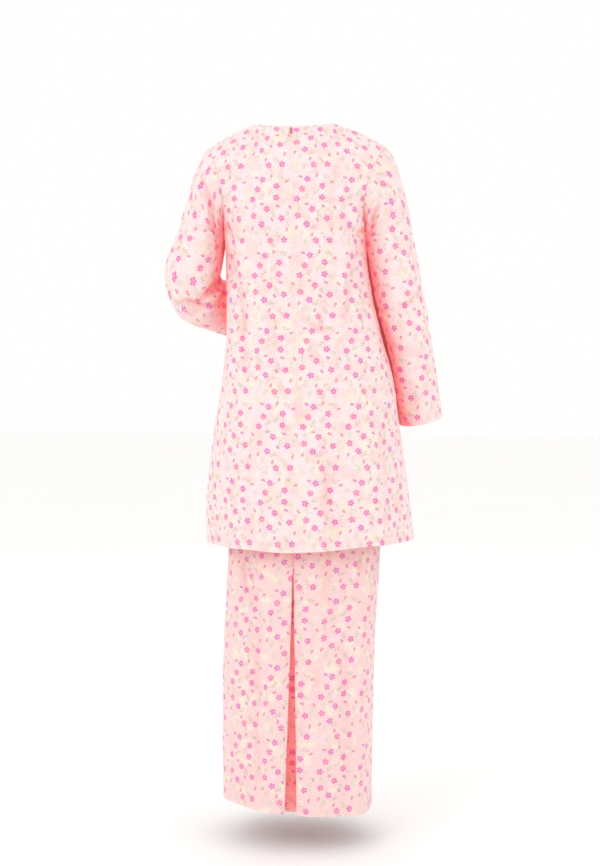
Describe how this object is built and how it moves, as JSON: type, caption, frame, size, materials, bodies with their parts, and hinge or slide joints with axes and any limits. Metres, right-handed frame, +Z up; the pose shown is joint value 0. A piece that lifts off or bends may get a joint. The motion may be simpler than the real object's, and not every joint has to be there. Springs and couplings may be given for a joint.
{
  "type": "baju kurung, worn, hollow",
  "caption": "Two-piece dress: a long-sleeved A-line tunic with a centre back zip over a straight ankle-length skirt with a kick pleat, standing as worn, open inside.",
  "frame": {"origin": "midway between the two points where the shoulder seams meet the neckline, where the wearer's shoulders hold the set up", "axes": "+Z up, the front faces -Y, +X towards the wearer's left"},
  "size_m": [0.5745, 0.3667, 1.4077],
  "materials": {
    "tunic_cotton": "matt light cotton, pale pink ground with small scattered flowers",
    "skirt_cotton": "matt light cotton, pale pink ground with small scattered flowers",
    "zip_tape": "fine woven polyester tape",
    "zip_metal": "smooth pink enamel"
  },
  "bodies": {
    "garment": {"tunic_back": "tunic_cotton", "tunic_front": "tunic_cotton", "sleeve_left": "tunic_cotton", "sleeve_right": "tunic_cotton", "zip_tape": "zip_tape", "zip_slider": "zip_metal", "skirt_front": "skirt_cotton", "skirt_back_left": "skirt_cotton", "skirt_back_right": "skirt_cotton", "pleat_underlay": "skirt_cotton", "skirt_waistband": "skirt_cotton"},
    "pull_tab": {"zip_pull_tab": "zip_metal"}
  },
  "joints": [
    {"name": "pull_tab_hinge", "type": "hinge", "parent": "garment", "child": "pull_tab", "pos_m": [0.01196, 0.06803, -0.01466], "axis": [0.9996, 0.0165, -0.0211], "range_deg": [0, 165]}
  ]
}
